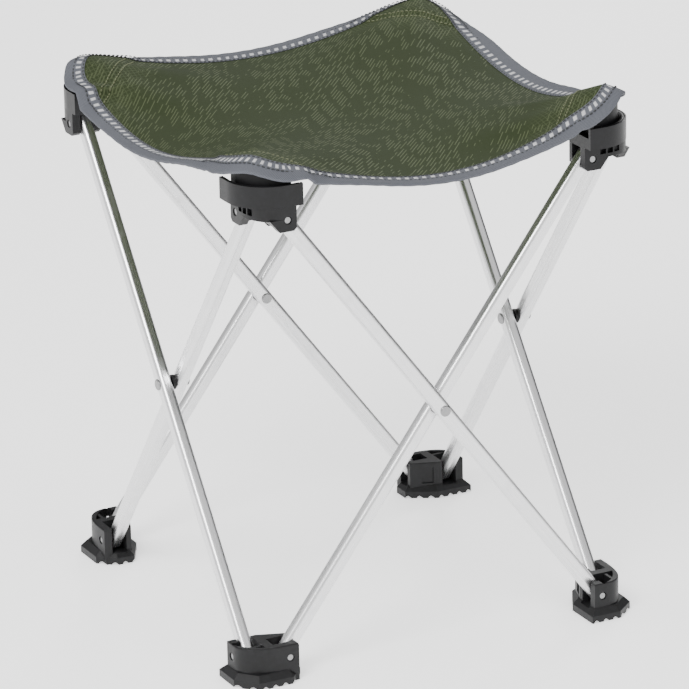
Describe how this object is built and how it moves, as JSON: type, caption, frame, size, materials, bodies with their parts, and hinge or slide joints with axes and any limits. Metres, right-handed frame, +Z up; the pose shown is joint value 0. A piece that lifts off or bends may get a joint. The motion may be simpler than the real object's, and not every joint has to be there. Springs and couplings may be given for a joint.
{
  "type": "folding camp stool",
  "caption": "Folding camp stool with crossed aluminium tubes on every side, plastic hubs and feet, and a dished fabric seat.",
  "frame": {"origin": "on the floor under the middle of the seat", "axes": "+Z up, front towards -Y, one crossed pair of tubes on each of the -Y, +X, +Y and -X sides"},
  "size_m": [0.364, 0.364, 0.4412],
  "materials": {
    "tube": "satin",
    "fastener": "satin",
    "black_plastic": "satin",
    "seat_cloth": "woven",
    "webbing": "woven"
  },
  "bodies": {
    "foot_front_left": {"foot_front_left": "black_plastic", "foot_pins_front_left": "fastener"},
    "hub_front_left": {"hub_front_left": "black_plastic", "hub_pins_front_left": "fastener", "corner_insert_front_left": "black_plastic", "insert_screw_front_left": "fastener", "corner_pocket_front_left": "seat_cloth", "seat_panel": "seat_cloth", "seat_binding": "webbing"},
    "foot_front_right": {"foot_front_right": "black_plastic", "foot_pins_front_right": "fastener"},
    "hub_front_right": {"hub_front_right": "black_plastic", "hub_pins_front_right": "fastener", "corner_insert_front_right": "black_plastic", "insert_screw_front_right": "fastener", "corner_pocket_front_right": "seat_cloth"},
    "foot_back_right": {"foot_back_right": "black_plastic", "foot_pins_back_right": "fastener"},
    "hub_back_right": {"hub_back_right": "black_plastic", "hub_pins_back_right": "fastener", "corner_insert_back_right": "black_plastic", "insert_screw_back_right": "fastener", "corner_pocket_back_right": "seat_cloth"},
    "foot_back_left": {"foot_back_left": "black_plastic", "foot_pins_back_left": "fastener"},
    "hub_back_left": {"hub_back_left": "black_plastic", "hub_pins_back_left": "fastener", "corner_insert_back_left": "black_plastic", "insert_screw_back_left": "fastener", "corner_pocket_back_left": "seat_cloth"},
    "outer_tube_front": {"outer_tube_front": "tube", "rivet_front": "fastener", "spacer_front": "black_plastic"},
    "inner_tube_front": {"inner_tube_front": "tube"},
    "outer_tube_right": {"outer_tube_right": "tube", "rivet_right": "fastener", "spacer_right": "black_plastic"},
    "inner_tube_right": {"inner_tube_right": "tube"},
    "outer_tube_back": {"outer_tube_back": "tube", "rivet_back": "fastener", "spacer_back": "black_plastic"},
    "inner_tube_back": {"inner_tube_back": "tube"},
    "outer_tube_left": {"outer_tube_left": "tube", "rivet_left": "fastener", "spacer_left": "black_plastic"},
    "inner_tube_left": {"inner_tube_left": "tube"}
  },
  "joints": [
    {"name": "fold", "type": "hinge", "parent": "foot_front_left", "child": "inner_tube_front", "pos_m": [-0.1375, -0.1495, 0.02], "axis": [0, -1, 0], "range_deg": [0, 33], "deforming": ["seat_panel", "seat_binding", "corner_pocket_front_left", "corner_pocket_front_right", "corner_pocket_back_right", "corner_pocket_back_left"]},
    {"name": "front_rivet_turn", "type": "hinge", "parent": "inner_tube_front", "child": "outer_tube_front", "pos_m": [0, -0.1565, 0.2025], "axis": [0, 1, 0], "range_deg": [0, 66]},
    {"name": "front_right_hub_turn", "type": "hinge", "parent": "inner_tube_front", "child": "hub_front_right", "pos_m": [0.1375, -0.1495, 0.385], "axis": [0, 1, 0], "range_deg": [0, 33]},
    {"name": "front_right_foot_turn", "type": "hinge", "parent": "outer_tube_front", "child": "foot_front_right", "pos_m": [0.1375, -0.1635, 0.02], "axis": [0, -1, 0], "range_deg": [0, 33]},
    {"name": "front_left_hub_turn", "type": "hinge", "parent": "outer_tube_front", "child": "hub_front_left", "pos_m": [-0.1375, -0.1635, 0.385], "axis": [0, -1, 0], "range_deg": [0, 33]},
    {"name": "left_fold", "type": "hinge", "parent": "foot_front_left", "child": "outer_tube_left", "pos_m": [-0.1635, -0.1375, 0.02], "axis": [1, 0, 0], "range_deg": [0, 33]},
    {"name": "left_rivet_turn", "type": "hinge", "parent": "outer_tube_left", "child": "inner_tube_left", "pos_m": [-0.1565, 0, 0.2025], "axis": [-1, 0, 0], "range_deg": [0, 66]},
    {"name": "back_left_hub_turn", "type": "hinge", "parent": "outer_tube_left", "child": "hub_back_left", "pos_m": [-0.1635, 0.1375, 0.385], "axis": [-1, 0, 0], "range_deg": [0, 33]},
    {"name": "back_left_foot_turn", "type": "hinge", "parent": "inner_tube_left", "child": "foot_back_left", "pos_m": [-0.1495, 0.1375, 0.02], "axis": [1, 0, 0], "range_deg": [0, 33]},
    {"name": "right_fold", "type": "hinge", "parent": "foot_front_right", "child": "inner_tube_right", "pos_m": [0.1495, -0.1375, 0.02], "axis": [1, 0, 0], "range_deg": [0, 33]},
    {"name": "right_rivet_turn", "type": "hinge", "parent": "inner_tube_right", "child": "outer_tube_right", "pos_m": [0.1565, 0, 0.2025], "axis": [-1, 0, 0], "range_deg": [0, 66]},
    {"name": "back_right_hub_turn", "type": "hinge", "parent": "inner_tube_right", "child": "hub_back_right", "pos_m": [0.1495, 0.1375, 0.385], "axis": [-1, 0, 0], "range_deg": [0, 33]},
    {"name": "back_right_foot_turn", "type": "hinge", "parent": "outer_tube_right", "child": "foot_back_right", "pos_m": [0.1635, 0.1375, 0.02], "axis": [1, 0, 0], "range_deg": [0, 33]},
    {"name": "back_fold", "type": "hinge", "parent": "foot_back_left", "child": "outer_tube_back", "pos_m": [-0.1375, 0.1635, 0.02], "axis": [0, -1, 0], "range_deg": [0, 33]},
    {"name": "back_rivet_turn", "type": "hinge", "parent": "outer_tube_back", "child": "inner_tube_back", "pos_m": [0, 0.1565, 0.2025], "axis": [0, 1, 0], "range_deg": [0, 66]}
  ],
  "couplings": [
    {"joint": "front_rivet_turn", "follows": "fold", "ratio": 2},
    {"joint": "front_right_hub_turn", "follows": "fold", "ratio": 1},
    {"joint": "front_right_foot_turn", "follows": "fold", "ratio": 1},
    {"joint": "front_left_hub_turn", "follows": "fold", "ratio": 1},
    {"joint": "left_fold", "follows": "fold", "ratio": 1},
    {"joint": "left_rivet_turn", "follows": "fold", "ratio": 2},
    {"joint": "back_left_hub_turn", "follows": "fold", "ratio": 1},
    {"joint": "back_left_foot_turn", "follows": "fold", "ratio": 1},
    {"joint": "right_fold", "follows": "fold", "ratio": 1},
    {"joint": "right_rivet_turn", "follows": "fold", "ratio": 2},
    {"joint": "back_right_hub_turn", "follows": "fold", "ratio": 1},
    {"joint": "back_right_foot_turn", "follows": "fold", "ratio": 1},
    {"joint": "back_fold", "follows": "fold", "ratio": 1},
    {"joint": "back_rivet_turn", "follows": "fold", "ratio": 2}
  ]
}
